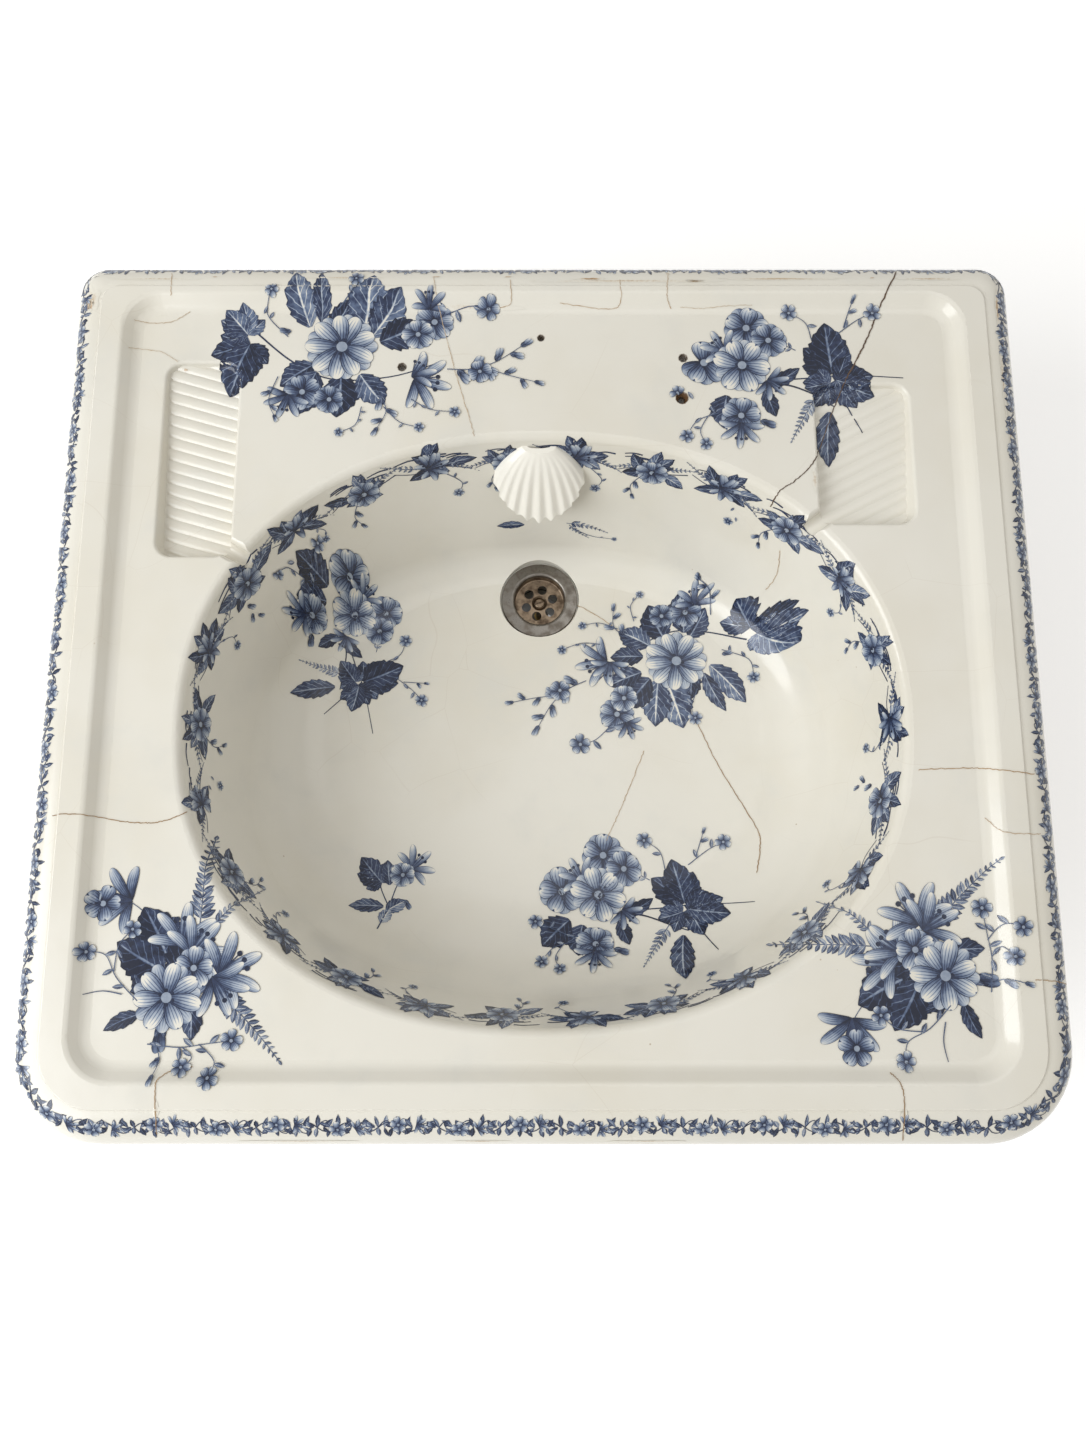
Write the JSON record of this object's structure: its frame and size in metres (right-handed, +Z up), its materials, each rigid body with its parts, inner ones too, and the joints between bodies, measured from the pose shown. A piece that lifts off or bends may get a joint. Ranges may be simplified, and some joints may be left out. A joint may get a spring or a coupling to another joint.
{
  "type": "ceramic washbasin",
  "caption": "Antique drop-in earthenware washbasin: rolled-edge table top, oval bowl, ribbed soap trays, shell overflow cover and screw-down strainer waste.",
  "frame": {"origin": "centre of the ring under the slab's edge, on the plane where it sits on its stand", "axes": "+X to the user's right, +Y to the wall, +Z up"},
  "size_m": [0.7, 0.63, 0.238],
  "materials": {
    "glaze": "aged cream glaze with blue printed sprays",
    "biscuit": "thinly glazed biscuit clay",
    "steel": "worn pressed steel with scale",
    "rubber": "matt black",
    "plastic": "moulded, slightly yellowed",
    "brass": "turned"
  },
  "bodies": {
    "root": {"slab_top": "glaze", "bowl": "glaze", "overflow_shell": "glaze", "overflow_duct": "biscuit", "strainer": "steel", "strainer_screw": "steel", "flange_seal": "rubber", "outlet_seal": "rubber", "waste_body": "plastic", "screw_insert": "brass"}
  },
  "joints": []
}
